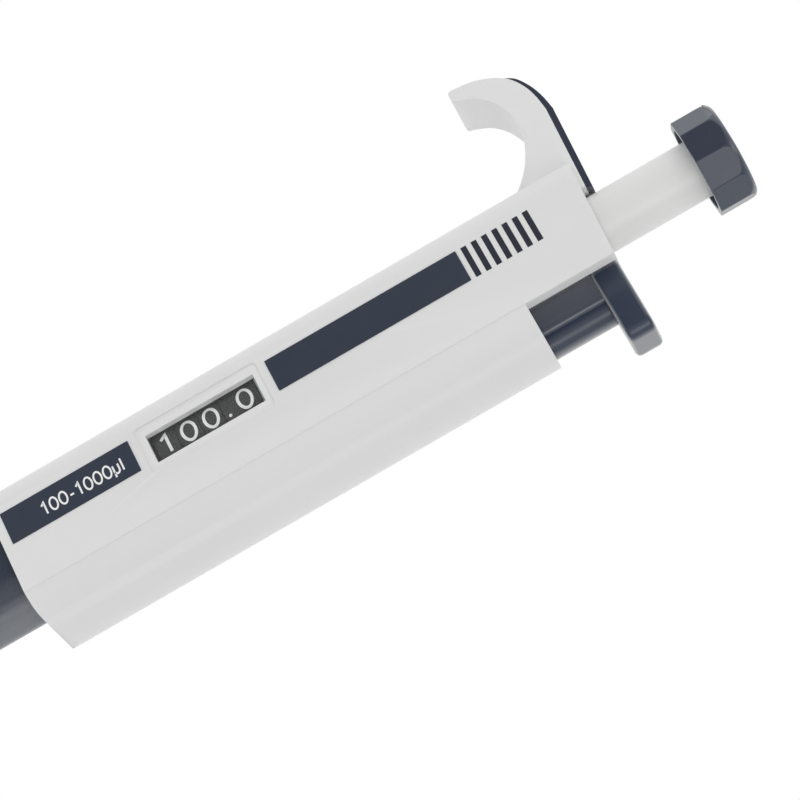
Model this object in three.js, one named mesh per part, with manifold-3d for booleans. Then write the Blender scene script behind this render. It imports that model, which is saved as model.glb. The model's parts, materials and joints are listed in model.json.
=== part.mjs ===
// Adjustable single-channel micropipette, 100 to 1000 microlitres, as an assembly of separate pieces.
// Units are millimetres. +Z runs up the plunger's axis from the nozzle's end, +X points to the thumb
// ejector, and the display faces -Y. The finger hook is on the -X side.
import * as THREE from 'three';
import { mergeVertices } from 'three/addons/utils/BufferGeometryUtils.js';
import Module from 'manifold-3d';

const wasm = await Module();
wasm.setup();

// ---- driving dimensions ----
const HANDLE = {
  bottom: 96.5, left: -10, right: 12.6, halfDepth: 11, corner: 5.6,
  topAtLeft: 213.9, topAtRight: 212.6, topWallUnder: 209.5, partingGap: 0.1,
};
const CAVITY = {
  left: -8.4, right: 11.2, halfDepth: 9.4, corner: 4.2, upperRight: 7.3, upperHalfDepth: 8.5,
};
const DRUM_POCKET = { radius: 9.4, z0: 126.4, z1: 148.5 };
const NOTCH = { z: 195.2, floorX: 8.5, floorHalfWidth: 5.2, bendX: 12, bendHalfWidth: 7.7, shelf: 1.6 };
const NOSE = { right: 19.8, radius: 5.5, blendAngle: 0.35, shoulderX: 17.4, shoulderY: 7.5, floor: 1.7 };
const NOSE_FOOT = { flatTo: 15, curveX: 19, curveRise: 0.4, rise: 3 };
const WINDOW = { x0: -2.6, x1: 3.35, z0: 127, z1: 148.4 };
const PANEL = { x0: -4.6, x1: 5.1, z0: 125.4, z1: 149.7, depth: 0.25, corner: 0.8 };
const LENS = { inset: 0.15, front: -10.6, back: -9.7 };
const LABEL = { x0: -3.4, x1: 3.2, thickness: 0.15, corner: 0.15 };
const UPPER_LABEL_Z = [151.3, 189.3];
const RANGE_LABEL_Z = [98.3, 123.9];
// The hook's outline in X and Z: its straight top, its crown down to the tip, its bowl, its flat seat
// and its arm.
const HOOK = { halfWidth: 5.4, tipEnd: 202, tipRound: 0.7 };
const HOOK_TOP = [[-5.2, 214.5], [-23, 215.6]];
const HOOK_CROWN = [
  [-26.5, 215.2], [-29.5, 214.35], [-32.3, 212.75], [-34.3, 210.3], [-35.8, 206.9], [-36.4, 202.8],
];
const HOOK_BOWL = [[-33.9, 202.8], [-32.3, 205.9], [-29.7, 208.2], [-26.7, 209.5], [-24.2, 209.95]];
const HOOK_ARM = [[-21.6, 209.95], [-19.2, 209.35], [-15.3, 207.5], [-12.2, 205.1], [-10, 202.6]];
const PAD = { halfWidth: 4 };
const PAD_TOP = [[-5.3, 215.65], [-23.4, 216.8]];
const PAD_CROWN = [[-26.8, 216.3], [-29.9, 215.35], [-32.9, 213.6], [-34.7, 210.7]];
const PAD_INSIDE = [[-33.4, 209.9], [-29.5, 213], [-23, 214.8], [-5.3, 214.1]];
const EJECTOR = {
  stemX0: 9.9, stemFlatX: 15.4, stemHalfWidth: 4, stemNoseRadius: 3.2, stemTop: 207.4,
  stemStepZ: 130, stemBottom: 118, stemStepX: 11.1, channelGap: 0.3,
  buttonX: [8.8, 24.9], buttonHalfWidth: 4.8, buttonTop: 212.6, buttonCorner: 2.4, buttonBevel: 0.8,
};
const EJECTOR_SPRING = { x: 14.6, coil: 2.9, wire: 0.45, turns: 7 };
const SLEEVE = {
  left: -8, right: 10.8, halfDepth: 8.9, corner: 5, wall: 1.2, top: 117.8, straightTo: 62, roundAt: 40,
  roundRadius: 7.2, end: 14, endRadius: 5.2, tongueTop: 129.5, tongueHalfWidth: 3.5, samples: 40, steps: 8,
};
const SCREW = { z: 124, radius: 1, length: 4, hole: 1.3, sunk: 0.2 };
const BUTTON = {
  facets: 10, radius: 9.35, turn: -12.5, bottom: 232.6, height: 7.9, shoulder: [1.4, 2.2], crown: 0.4,
  rim: 1.6, hollow: 4.6,
};
const PLUNGER_ROD = { radius: 5.35, bore: 3.7, bottom: 188, capUnder: 229.5, guideGap: 0.4 };
const GUIDE_BUSH = { gap: 0.2, outer: 7, bottom: 205 };
const TUBE = {
  bottom: 122.6, radius: 3, bore: 1.5, hexFrom: 170, hexRadius: 2.3, top: 208,
  collar: 3.9, collarZ: [124.8, 126.8],
};
const SPLINE = { bottom: 188.2, top: 193, radius: 3.5, hexRadius: 2.62 };
const PUSH_ROD = { radius: 1.2, bottom: 116.7, top: 229.3 };
const DRUM = { radius: 9.1, bore: 3.4, keyedBore: 3.2, edge: 0.12 };
const DRUM_Z = {
  hundreds: [127.4, 131.75], tens: [131.85, 136.25], units: [136.35, 140.55], tenths: [140.65, 147.9],
};
const FRAME = {
  bottom: 122.4, lowTop: 124.6, highUnder: 148, top: 149.6, bore: 3.3,
  pillarX: [8.2, 9], pillarY: [5.6, 8.2],
};
const PLATE = { left: -8.1, right: 9.2, halfDepth: 9.1, leftCorner: 4, rightCorner: 1 };
const MOUNT_PLATE = { z: [118.6, 120.6], gap: 0.3 };
const NUT = {
  bottom: 164.5, top: 169.3, radius: 5.9, bore: 3.2, railRadius: 4.5, rail: 0.5, railHole: 0.8,
};
const PLUNGER_SPRING = {
  coil: 6.75, wire: 0.45, turns: 8, stepsPerTurn: 12, collarOuter: 7.2, collarHeight: 1,
};
const PISTON = {
  radius: 4.7, bottom: 56.5, top: 81, rod: 2, headFrom: 114.5, headTop: 116.5, headRadius: 4.4,
};
const BARREL = {
  bottom: 36, step: 58, neckRadius: 5.5, radius: 6.2, chamber: 4.9, sealBore: 5.4, ledge: [86, 88],
  ledgeBore: 2.8, upperBore: 5.2, flange: [120.8, 122.1], flangeRadius: 7.6,
};
const SEAL = {
  slip: 0.08, ringZ: [58.2, 59.8], oRingRadius: 5.06, oRingWire: 0.28, oRingZ: 60.6, retainerZ: [61.4, 64],
};
const WASHER = { inner: 2.4, outer: 4.9, bottom: 96.7, top: 98.2 };
const BLOWOUT_SPRING = { coil: 3.9, wire: 0.4, turns: 4 };
const CONE = {
  nozzleRadius: 3, noseChamfer: [0.15, 0.3], fitTop: 14, fitRadius: 3.9, top: 33, topRadius: 4.7,
  collarRadius: 4.9, plugTop: 38.3, bore: 1.2, throat: 1.2,
};
const FILTER = { radius: 2.4, length: 3.8 };
const CLEARANCE = 0.1;
// Straight sides round a circle, from broad turned pieces down to thin rods, and round a spring's wire.
const SEGMENTS = 32;
const ROD_SEGMENTS = 20;
const PIN_SEGMENTS = 12;
const WIRE_SIDES = 5;

// ---- colours, roughness and metalness of each material ----
const WHITE = { color: 0xdcdcdc, roughness: 0.42, metalness: 0 };
const NAVY = { color: 0x464c58, roughness: 0.35, metalness: 0 };
const LABEL_BLUE = { color: 0x3e4454, roughness: 0.5, metalness: 0 };
const CHARCOAL = { color: 0x3c3c3c, roughness: 0.6, metalness: 0 };
const CLEAR = { color: 0xe8eef2, roughness: 0.08, metalness: 0 };
const STEEL = { color: 0xb4b7ba, roughness: 0.3, metalness: 1 };
const BRASS = { color: 0xb8964f, roughness: 0.35, metalness: 1 };
const RUBBER = { color: 0x202020, roughness: 0.8, metalness: 0 };
const GREY = { color: 0xa9acaf, roughness: 0.5, metalness: 0 };

const pipette = new THREE.Group();

function place(name, geometry, look) {
  const mesh = new THREE.Mesh(geometry, new THREE.MeshStandardMaterial(look));
  mesh.name = name;
  pipette.add(mesh);
}

// ---- solids and booleans ----
function solid(geometry) {
  const bare = geometry.clone();
  bare.deleteAttribute('normal');
  bare.deleteAttribute('uv');
  const merged = mergeVertices(bare, 1e-5);
  return new wasm.Manifold(new wasm.Mesh({
    numProp: 3,
    vertProperties: new Float32Array(merged.attributes.position.array),
    triVerts: new Uint32Array(merged.index.array),
  }));
}

function geometryOf(body) {
  const mesh = body.getMesh();
  const geometry = new THREE.BufferGeometry();
  geometry.setAttribute('position', new THREE.BufferAttribute(mesh.vertProperties, 3));
  geometry.setIndex(new THREE.BufferAttribute(mesh.triVerts, 1));
  geometry.computeVertexNormals();
  return geometry;
}

// A plan outline raised from z0 to z1.
function prism(shape, z0, z1, curveSegments = 8) {
  const geometry = new THREE.ExtrudeGeometry(shape, { depth: z1 - z0, bevelEnabled: false, curveSegments });
  return geometry.translate(0, 0, z0);
}

// A plan outline raised from z0 to z1 with its top and bottom edges rounded by bevel.
function softPrism(shape, z0, z1, bevel) {
  const geometry = new THREE.ExtrudeGeometry(shape, {
    depth: z1 - z0 - 2 * bevel, bevelSize: bevel, bevelThickness: bevel, bevelOffset: -bevel,
    bevelSegments: 2, curveSegments: 6,
  });
  return geometry.translate(0, 0, z0 + bevel);
}

// An outline drawn in X and Z, with its thickness along Y from -halfWidth to halfWidth.
function sideways(geometry) {
  return geometry.rotateX(Math.PI / 2);
}

function sidePrism(shape, halfWidth) {
  return sideways(prism(shape, -halfWidth, halfWidth));
}

// A profile of [radius, z] points turned about the plunger's axis, closed on itself or on the axis.
function turned(profile, segments = SEGMENTS) {
  const points = profile.map(([radius, z]) => new THREE.Vector2(radius, z));
  const onAxis = profile[0][0] === 0;
  if (!onAxis) points.push(points[0].clone());
  return new THREE.LatheGeometry(points, segments).rotateX(Math.PI / 2);
}

function ring(inner, outer, z0, z1, segments = SEGMENTS) {
  return turned([[inner, z0], [outer, z0], [outer, z1], [inner, z1]], segments);
}

function rod(radius, z0, z1, x = 0, y = 0, segments = ROD_SEGMENTS) {
  return turned([[0, z0], [radius, z0], [radius, z1], [0, z1]], segments).translate(x, y, 0);
}

function hexagon(radius) {
  const shape = new THREE.Shape();
  for (let i = 0; i < 6; i += 1) {
    const angle = i * Math.PI / 3;
    const x = radius * Math.cos(angle);
    const y = radius * Math.sin(angle);
    if (i === 0) shape.moveTo(x, y);
    else shape.lineTo(x, y);
  }
  shape.closePath();
  return shape;
}

function polygon(points) {
  return new THREE.Shape(points.map(([x, y]) => new THREE.Vector2(x, y)));
}

// A rectangle whose left corners have one radius and whose right corners have another.
function roundedRect(x0, x1, y0, y1, leftRadius, rightRadius = leftRadius) {
  const shape = new THREE.Shape();
  shape.moveTo(x1 - rightRadius, y0);
  if (rightRadius > 0) {
    shape.absarc(x1 - rightRadius, y0 + rightRadius, rightRadius, -Math.PI / 2, 0);
    shape.absarc(x1 - rightRadius, y1 - rightRadius, rightRadius, 0, Math.PI / 2);
  } else shape.lineTo(x1, y1);
  shape.absarc(x0 + leftRadius, y1 - leftRadius, leftRadius, Math.PI / 2, Math.PI);
  shape.absarc(x0 + leftRadius, y0 + leftRadius, leftRadius, Math.PI, 1.5 * Math.PI);
  shape.closePath();
  return shape;
}

// A stack of matching convex outlines, each [z, points], skinned and capped.
function loft(sections) {
  const count = sections[0][1].length;
  const positions = sections.flatMap(([z, points]) => points.flatMap(([x, y]) => [x, y, z]));
  const index = [];
  for (let s = 0; s + 1 < sections.length; s += 1) {
    for (let i = 0; i < count; i += 1) {
      const a = s * count + i;
      const b = s * count + (i + 1) % count;
      index.push(a, b, b + count, a, b + count, a + count);
    }
  }
  const last = (sections.length - 1) * count;
  for (let i = 1; i + 1 < count; i += 1) {
    index.push(0, i + 1, i);
    index.push(last, last + i, last + i + 1);
  }
  const geometry = new THREE.BufferGeometry();
  geometry.setAttribute('position', new THREE.Float32BufferAttribute(positions, 3));
  geometry.setIndex(index);
  return geometry;
}

// A round-wire compression spring about a vertical line at x.
function spring(x, coilRadius, wire, z0, z1, turns, stepsPerTurn = 10) {
  class Helix extends THREE.Curve {
    getPoint(t) {
      const angle = 2 * Math.PI * turns * t;
      const z = z0 + wire + (z1 - z0 - 2 * wire) * t;
      return new THREE.Vector3(x + coilRadius * Math.cos(angle), coilRadius * Math.sin(angle), z);
    }
  }
  const section = new THREE.Shape();
  section.absarc(0, 0, wire, 0, 2 * Math.PI);
  return new THREE.ExtrudeGeometry(section, {
    extrudePath: new Helix(), steps: turns * stepsPerTurn, curveSegments: WIRE_SIDES, bevelEnabled: false,
  });
}

// ---- handle: two moulded halves and the ejector cover ----
function handleOutline() {
  const { left, right, halfDepth, corner } = HANDLE;
  return roundedRect(left, right, -halfDepth, halfDepth, corner, 0);
}

function handleSide() {
  const { left, right, bottom, topAtLeft, topAtRight } = HANDLE;
  return polygon([[left, bottom], [right, bottom], [right, topAtRight], [left, topAtLeft]]);
}

// The stem in plan: a flat-sided bar with a narrower rounded nose, grown by gap for its channel.
function stemOutline(gap) {
  const { stemX0, stemFlatX, stemHalfWidth, stemNoseRadius } = EJECTOR;
  const flatX = stemFlatX + gap;
  const halfWidth = stemHalfWidth + gap;
  const radius = stemNoseRadius + gap;
  const start = Math.acos(gap / radius);
  const shape = new THREE.Shape();
  shape.moveTo(stemX0 - gap, -halfWidth);
  shape.lineTo(flatX, -halfWidth);
  shape.lineTo(flatX, -radius * Math.sin(start));
  shape.absarc(stemFlatX, 0, radius, -start, start);
  shape.lineTo(flatX, halfWidth);
  shape.lineTo(stemX0 - gap, halfWidth);
  shape.closePath();
  return shape;
}

// The clear way for the plunger rod, from z upwards.
function rodPassage(z) {
  return solid(rod(PLUNGER_ROD.radius + PLUNGER_ROD.guideGap, z, BUTTON.bottom, 0, 0, SEGMENTS));
}

function handleBody() {
  const { bottom, topAtLeft, topWallUnder, halfDepth } = HANDLE;
  const above = topAtLeft + 1;
  const below = bottom - 1;
  const shelfUnder = NOTCH.z - NOTCH.shelf;
  const { left, right, upperRight, upperHalfDepth, corner } = CAVITY;
  const lowerRoom = roundedRect(left, right, -CAVITY.halfDepth, CAVITY.halfDepth, corner, 0);
  const upperRoom = roundedRect(left, upperRight, -upperHalfDepth, upperHalfDepth, corner, 0);
  const notchEdge = [
    [NOTCH.floorX, NOTCH.floorHalfWidth], [NOTCH.bendX, NOTCH.bendHalfWidth], [HANDLE.right, halfDepth],
    [HANDLE.right + 1, halfDepth],
  ];
  const notch = polygon([...notchEdge.map(([x, y]) => [x, -y]), ...notchEdge.reverse()]);
  return solid(prism(handleOutline(), bottom, above))
    .intersect(solid(sidePrism(handleSide(), halfDepth + 1)))
    .subtract(solid(prism(lowerRoom, below, shelfUnder)))
    .subtract(solid(prism(upperRoom, shelfUnder - 1, topWallUnder)))
    .subtract(solid(prism(notch, NOTCH.z, above)))
    .subtract(solid(prism(stemOutline(EJECTOR.channelGap), below, above)))
    .subtract(solid(rod(DRUM_POCKET.radius, DRUM_POCKET.z0, DRUM_POCKET.z1, 0, 0, SEGMENTS)))
    .subtract(rodPassage(topWallUnder - 1));
}

function box(x0, x1, y0, y1, z0, z1) {
  const geometry = new THREE.BoxGeometry(x1 - x0, y1 - y0, z1 - z0);
  return geometry.translate((x0 + x1) / 2, (y0 + y1) / 2, (z0 + z1) / 2);
}

// A face panel: a soft-cornered rectangle in X and Z, between two depths on the display side.
function facePanel(x0, x1, z0, z1, corner, front, back) {
  const shape = roundedRect(x0, x1, z0, z1, corner);
  return sideways(prism(shape, -back, -front, 4));
}

function handleHalf(body, side) {
  const { left, right, halfDepth, bottom, topAtLeft, partingGap } = HANDLE;
  const gap = partingGap / 2;
  const [y0, y1] = side < 0 ? [-halfDepth - 1, -gap] : [gap, halfDepth + 1];
  return body.intersect(solid(box(left - 1, right + 1, y0, y1, bottom - 1, topAtLeft + 1)));
}

function frontShell(body) {
  const front = -HANDLE.halfDepth;
  const { x0, x1, z0, z1, depth, corner } = PANEL;
  return handleHalf(body, -1)
    .subtract(solid(facePanel(x0, x1, z0, z1, corner, front - 1, front + depth)))
    .subtract(solid(box(WINDOW.x0, WINDOW.x1, front - 1, -CAVITY.halfDepth + 1, WINDOW.z0, WINDOW.z1)));
}

function coverOutline() {
  const { right, radius, blendAngle, shoulderX, shoulderY } = NOSE;
  const x0 = HANDLE.right + HANDLE.partingGap;
  const centre = right - radius;
  const blendX = centre + radius * Math.cos(blendAngle);
  const blendY = radius * Math.sin(blendAngle);
  const shape = new THREE.Shape();
  shape.moveTo(x0, -HANDLE.halfDepth);
  shape.quadraticCurveTo(shoulderX, -shoulderY, blendX, -blendY);
  shape.absarc(centre, 0, radius, -blendAngle, blendAngle);
  shape.quadraticCurveTo(shoulderX, shoulderY, x0, HANDLE.halfDepth);
  shape.closePath();
  return shape;
}

function coverSide() {
  const { flatTo, curveX, curveRise, rise } = NOSE_FOOT;
  const bottom = HANDLE.bottom;
  const shape = new THREE.Shape();
  shape.moveTo(HANDLE.right - 1, bottom);
  shape.lineTo(flatTo, bottom);
  shape.quadraticCurveTo(curveX, bottom + curveRise, NOSE.right, bottom + rise);
  shape.lineTo(NOSE.right + 1, bottom + rise);
  shape.lineTo(NOSE.right + 1, NOTCH.z);
  shape.lineTo(HANDLE.right - 1, NOTCH.z);
  shape.closePath();
  return shape;
}

function ejectorCover() {
  const floor = HANDLE.bottom + NOSE.floor;
  return solid(prism(coverOutline(), HANDLE.bottom, NOTCH.z))
    .intersect(solid(sidePrism(coverSide(), HANDLE.halfDepth + 1)))
    .subtract(solid(prism(stemOutline(EJECTOR.channelGap), floor, NOTCH.z + 1)));
}

// ---- finger hook and its soft pad ----
function handleTopAt(x) {
  const { left, right, topAtLeft, topAtRight } = HANDLE;
  return THREE.MathUtils.mapLinear(x, left, right, topAtLeft, topAtRight);
}

function curveThrough(shape, points) {
  shape.splineThru(points.map(([x, z]) => new THREE.Vector2(x, z)));
}

function lineThrough(shape, points) {
  for (const [x, z] of points) shape.lineTo(x, z);
}

function hookOutline() {
  const { tipEnd, tipRound } = HOOK;
  const rightX = HOOK_TOP[0][0];
  const outerX = HOOK_CROWN.at(-1)[0];
  const [innerX, innerZ] = HOOK_BOWL[0];
  const shape = new THREE.Shape();
  shape.moveTo(HANDLE.left, HANDLE.topAtLeft);
  shape.lineTo(rightX, handleTopAt(rightX));
  lineThrough(shape, HOOK_TOP);
  curveThrough(shape, HOOK_CROWN);
  shape.quadraticCurveTo(outerX, tipEnd, outerX + tipRound, tipEnd);
  shape.lineTo(innerX - tipRound, tipEnd);
  shape.quadraticCurveTo(innerX, tipEnd, innerX, innerZ);
  curveThrough(shape, HOOK_BOWL.slice(1));
  shape.lineTo(...HOOK_ARM[0]);
  curveThrough(shape, HOOK_ARM.slice(1));
  shape.closePath();
  return shape;
}

// The pad's outline runs inside the hook, which is then cut away from it.
function padOutline() {
  const shape = new THREE.Shape();
  shape.moveTo(...PAD_TOP[0]);
  lineThrough(shape, PAD_TOP.slice(1));
  curveThrough(shape, PAD_CROWN);
  lineThrough(shape, PAD_INSIDE);
  shape.closePath();
  return shape;
}

function buildHandle() {
  const body = handleBody();
  const rodWay = rodPassage(HANDLE.topWallUnder);
  const hook = solid(sidePrism(hookOutline(), HOOK.halfWidth)).subtract(rodWay);
  const pad = solid(sidePrism(padOutline(), PAD.halfWidth)).subtract(hook).subtract(rodWay);
  const labelFront = -HANDLE.halfDepth - LABEL.thickness;
  place('handle_front_shell', geometryOf(frontShell(body)), WHITE);
  place('handle_rear_shell', geometryOf(handleHalf(body, 1)), WHITE);
  place('ejector_cover', geometryOf(ejectorCover()), WHITE);
  place('finger_hook', geometryOf(hook), WHITE);
  place('hook_pad', geometryOf(pad), NAVY);
  for (const [name, [z0, z1]] of [['upper_label', UPPER_LABEL_Z], ['range_label', RANGE_LABEL_Z]]) {
    const label = facePanel(LABEL.x0, LABEL.x1, z0, z1, LABEL.corner, labelFront, -HANDLE.halfDepth);
    place(name, label, LABEL_BLUE);
  }
  const { inset, front, back } = LENS;
  const lens = box(WINDOW.x0 + inset, WINDOW.x1 - inset, front, back, WINDOW.z0 + inset, WINDOW.z1 - inset);
  place('window_lens', lens, CLEAR);
  const guideTop = HANDLE.topWallUnder - GUIDE_BUSH.gap;
  const guide = ring(PLUNGER_ROD.radius + GUIDE_BUSH.gap, GUIDE_BUSH.outer, GUIDE_BUSH.bottom, guideTop);
  place('plunger_guide_bush', guide, GREY);
}

// ---- volume counter ----
function drum(bore, [z0, z1]) {
  const { radius, edge } = DRUM;
  return turned([
    [bore, z0], [radius - edge, z0], [radius, z0 + edge], [radius, z1 - edge], [radius - edge, z1],
    [bore, z1],
  ]);
}

function plate(z0, z1, bore) {
  const { left, right, halfDepth, leftCorner, rightCorner } = PLATE;
  const outline = roundedRect(left, right, -halfDepth, halfDepth, leftCorner, rightCorner);
  const hole = new THREE.Path();
  hole.absarc(0, 0, bore, 0, 2 * Math.PI, true);
  outline.holes.push(hole);
  return prism(outline, z0, z1, 8);
}

function counterFrame() {
  const { bottom, lowTop, highUnder, top, bore, pillarX, pillarY } = FRAME;
  const sunk = 0.5;
  let frame = solid(plate(bottom, lowTop, bore)).add(solid(plate(highUnder, top, bore)));
  for (const side of [-1, 1]) {
    const [near, far] = pillarY;
    const [y0, y1] = side < 0 ? [-far, -near] : [near, far];
    frame = frame.add(solid(box(pillarX[0], pillarX[1], y0, y1, lowTop - sunk, highUnder + sunk)));
  }
  return frame;
}

function driveTube() {
  const { bottom, radius, bore, hexFrom, hexRadius, top, collar, collarZ } = TUBE;
  const round = turned([
    [0, bottom], [radius, bottom], [radius, collarZ[0]], [collar, collarZ[0]], [collar, collarZ[1]],
    [radius, collarZ[1]], [radius, hexFrom], [0, hexFrom],
  ]);
  return solid(round)
    .add(solid(prism(hexagon(hexRadius), hexFrom - 1, top)))
    .subtract(solid(rod(bore, bottom - 1, top + 1)));
}

function stopNut() {
  const { bottom, top, radius, bore, railRadius, railHole } = NUT;
  let nut = solid(ring(bore, radius, bottom, top));
  for (const side of [-1, 1]) {
    nut = nut.subtract(solid(rod(railHole, bottom - 1, top + 1, 0, side * railRadius, PIN_SEGMENTS)));
  }
  return nut;
}

function buildCounter() {
  place('counter_frame', geometryOf(counterFrame()), GREY);
  place('hundreds_drum', drum(DRUM.bore, DRUM_Z.hundreds), CHARCOAL);
  place('tens_drum', drum(DRUM.bore, DRUM_Z.tens), CHARCOAL);
  place('units_drum', drum(DRUM.keyedBore, DRUM_Z.units), CHARCOAL);
  place('tenths_ring', drum(DRUM.bore, DRUM_Z.tenths), CHARCOAL);
  place('drive_tube', geometryOf(driveTube()), STEEL);
  place('volume_stop_nut', geometryOf(stopNut()), BRASS);
  for (const [name, side] of [['nut_rail_front', -1], ['nut_rail_rear', 1]]) {
    place(name, rod(NUT.rail, FRAME.top, NUT.top, 0, side * NUT.railRadius, PIN_SEGMENTS), STEEL);
  }
}

// ---- plunger: faceted button, rod, splined bush, push rod and return spring ----
function plungerButton() {
  const { facets, radius, turn, bottom, height, crown, rim, hollow } = BUTTON;
  const corners = [];
  for (let i = 0; i < facets; i += 1) {
    const angle = THREE.MathUtils.degToRad(turn - 90) + i * 2 * Math.PI / facets;
    corners.push([radius * Math.cos(angle), radius * Math.sin(angle)]);
  }
  const top = bottom + height;
  const [across, down] = BUTTON.shoulder;
  const dome = [[0, bottom - 1], [radius, bottom - 1]];
  const steps = 6;
  for (let i = 0; i <= steps; i += 1) {
    const angle = i / steps * Math.PI / 2;
    dome.push([radius - across * (1 - Math.cos(angle)), top - crown - down * (1 - Math.sin(angle))]);
  }
  dome.push([radius / 2, top - crown / 4], [0, top]);
  const domeSegments = 40;
  const room = rod(radius - rim, bottom - 1, bottom + hollow, 0, 0, SEGMENTS);
  return solid(prism(polygon(corners), bottom, top))
    .intersect(solid(turned(dome, domeSegments)))
    .subtract(solid(room));
}

function plungerRod() {
  const { radius, bore, bottom, capUnder } = PLUNGER_ROD;
  return solid(rod(radius, bottom, BUTTON.bottom + BUTTON.hollow, 0, 0, SEGMENTS))
    .subtract(solid(rod(bore, bottom - 1, capUnder, 0, 0, SEGMENTS)));
}

function splineBush() {
  const { bottom, top, radius, hexRadius } = SPLINE;
  return solid(rod(radius, bottom, top, 0, 0, SEGMENTS))
    .subtract(solid(prism(hexagon(hexRadius), bottom - 1, top + 1)));
}

function buildPlunger() {
  const { coil, wire, turns, stepsPerTurn, collarOuter, collarHeight } = PLUNGER_SPRING;
  const collarTop = PLUNGER_ROD.bottom;
  const collarBottom = collarTop - collarHeight;
  const [springFrom, springTo] = [FRAME.top + CLEARANCE, collarBottom - CLEARANCE];
  place('plunger_button', geometryOf(plungerButton()), NAVY);
  place('plunger_rod', geometryOf(plungerRod()), WHITE);
  place('spline_bush', geometryOf(splineBush()), BRASS);
  place('push_rod', rod(PUSH_ROD.radius, PUSH_ROD.bottom, PUSH_ROD.top), STEEL);
  place('spring_collar', ring(FRAME.bore + CLEARANCE, collarOuter, collarBottom, collarTop), STEEL);
  place('plunger_spring', spring(0, coil, wire, springFrom, springTo, turns, stepsPerTurn), STEEL);
}

// ---- piston, seals and the two-stage stop ----
function lowerBarrel() {
  const { bottom, step, neckRadius, radius, chamber, sealBore, flange, flangeRadius } = BARREL;
  const { ledge, ledgeBore, upperBore } = BARREL;
  return turned([
    [chamber, bottom], [neckRadius, bottom], [neckRadius, step], [radius, step], [radius, flange[0]],
    [flangeRadius, flange[0]], [flangeRadius, flange[1]], [upperBore, flange[1]],
    [upperBore, ledge[1]], [ledgeBore, ledge[1]], [ledgeBore, ledge[0]], [sealBore, ledge[0]],
    [sealBore, step], [chamber, step],
  ]);
}

function oRing(radius, wire, z) {
  const sides = 6;
  return new THREE.TorusGeometry(radius, wire, sides, SEGMENTS).translate(0, 0, z);
}

function buildBarrel() {
  const { slip, ringZ, oRingRadius, oRingWire, oRingZ, retainerZ } = SEAL;
  const bore = PISTON.radius + slip;
  const outer = BARREL.sealBore - slip;
  const { coil, wire, turns } = BLOWOUT_SPRING;
  place('barrel_mount', plate(...MOUNT_PLATE.z, BARREL.radius + MOUNT_PLATE.gap), GREY);
  place('lower_barrel', lowerBarrel(), GREY);
  place('seal_ring', ring(bore, outer, ...ringZ), WHITE);
  place('piston_o_ring', oRing(oRingRadius, oRingWire, oRingZ), RUBBER);
  place('seal_retainer', ring(bore, outer, ...retainerZ), STEEL);
  place('piston', rod(PISTON.radius, PISTON.bottom, PISTON.top, 0, 0, SEGMENTS), GREY);
  place('piston_rod', rod(PISTON.rod, PISTON.top, PISTON.headFrom), STEEL);
  place('piston_head', rod(PISTON.headRadius, PISTON.headFrom, PISTON.headTop, 0, 0, SEGMENTS), STEEL);
  place('blowout_washer', ring(WASHER.inner, WASHER.outer, WASHER.bottom, WASHER.top), STEEL);
  const coilSpring = spring(0, coil, wire, BARREL.ledge[1] + CLEARANCE, WASHER.bottom - CLEARANCE, turns);
  place('blowout_spring', coilSpring, STEEL);
}

function tipCone() {
  const { nozzleRadius, fitTop, fitRadius, top, topRadius, collarRadius, plugTop, bore, throat } = CONE;
  const [inward, upward] = CONE.noseChamfer;
  const seat = BARREL.bottom - CLEARANCE;
  const plugRadius = BARREL.chamber - CLEARANCE;
  const mouth = FILTER.radius + CLEARANCE;
  const mouthTop = FILTER.length + CLEARANCE;
  return turned([
    [mouth, 0], [nozzleRadius - inward, 0], [nozzleRadius, upward], [fitRadius, fitTop], [topRadius, top],
    [collarRadius, top], [collarRadius, seat], [plugRadius, seat], [plugRadius, plugTop],
    [bore, plugTop - throat], [bore, mouthTop], [mouth, mouthTop],
  ]);
}

function buildNozzle() {
  place('tip_cone', tipCone(), GREY);
  place('cone_filter', rod(FILTER.radius, 0, FILTER.length, 0, 0, SEGMENTS), WHITE);
}

// ---- tip ejector ----
// One level of the sleeve: its soft rectangle (roundness 0) eased towards a circle (roundness 1).
function sleeveSection(inset, roundness, radius) {
  const { left, right, halfDepth, corner, samples } = SLEEVE;
  const depth = halfDepth - inset;
  const outline = roundedRect(left + inset, right - inset, -depth, depth, corner - inset);
  const centreX = (left + right) / 2;
  return outline.getSpacedPoints(samples).slice(0, samples).map(({ x, y }) => {
    const bearing = Math.atan2(y, x - centreX);
    return [
      THREE.MathUtils.lerp(x, (radius - inset) * Math.cos(bearing), roundness),
      THREE.MathUtils.lerp(y, (radius - inset) * Math.sin(bearing), roundness),
    ];
  });
}

function sleeveSkin(inset, overshoot) {
  const { top, straightTo, roundAt, roundRadius, end, endRadius, steps } = SLEEVE;
  const sections = [[end - overshoot, sleeveSection(inset, 1, endRadius)]];
  sections.push([roundAt, sleeveSection(inset, 1, roundRadius)]);
  for (let i = 1; i < steps; i += 1) {
    const share = i / steps;
    const eased = share * share * (3 - 2 * share);
    const z = THREE.MathUtils.lerp(roundAt, straightTo, share);
    sections.push([z, sleeveSection(inset, 1 - eased, roundRadius)]);
  }
  sections.push([straightTo, sleeveSection(inset, 0, roundRadius)]);
  sections.push([top + overshoot, sleeveSection(inset, 0, roundRadius)]);
  return solid(loft(sections));
}

function ejectorSleeve() {
  const { top, right, wall, tongueTop, tongueHalfWidth } = SLEEVE;
  const overshoot = 0.5;
  return sleeveSkin(0, 0)
    .subtract(sleeveSkin(wall, overshoot))
    .add(solid(box(right - wall, right, -tongueHalfWidth, tongueHalfWidth, top - 1, tongueTop)));
}

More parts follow.
